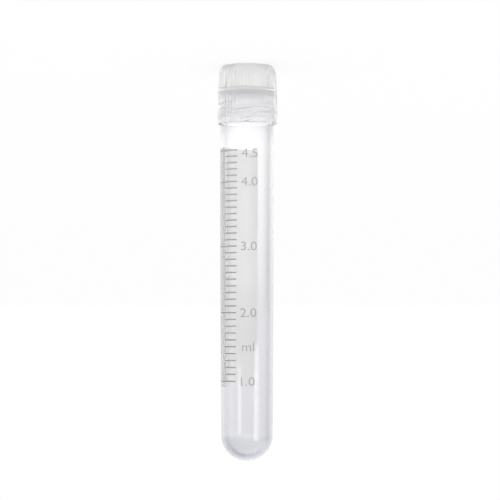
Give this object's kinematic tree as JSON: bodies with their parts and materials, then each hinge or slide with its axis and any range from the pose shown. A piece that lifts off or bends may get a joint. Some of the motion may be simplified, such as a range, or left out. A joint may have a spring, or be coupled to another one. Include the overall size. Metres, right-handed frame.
{
  "type": "cryogenic vial",
  "caption": "Round-bottomed plastic tube with a screw cap and sealing washer, for storing liquid samples in deep cold.",
  "frame": {"origin": "centre of the cap's flat top, which the vial stands on", "axes": "+Z along the vial's axis, from the cap towards the round bottom; -Y is the side with the volume scale"},
  "size_m": [0.0139, 0.0139, 0.0902],
  "materials": {
    "cap_plastic": "translucent moulded polypropylene, faintly hazy",
    "silicone": "matt grey silicone",
    "tube_plastic": "clear moulded polypropylene, slightly milky",
    "white_ink": "matt white printed field for handwriting",
    "grey_ink": "matt grey printed lines"
  },
  "bodies": {
    "cap": {"cap": "cap_plastic"},
    "washer": {"washer": "silicone"},
    "tube": {"tube": "tube_plastic", "writing_patch": "white_ink", "graduation_marks": "grey_ink"}
  },
  "joints": [
    {"name": "unscrew", "type": "hinge", "parent": "cap", "child": "washer", "pos_m": [0, 0, 0], "axis": [0, 0, 1], "range_deg": [0, 630]},
    {"name": "rise", "type": "slide", "parent": "washer", "child": "tube", "axis": [0, 0, 1], "range_m": [0, 0.00703]}
  ],
  "couplings": [
    {"joint": "rise", "follows": "unscrew", "m_per_rad": 0.0006398}
  ]
}
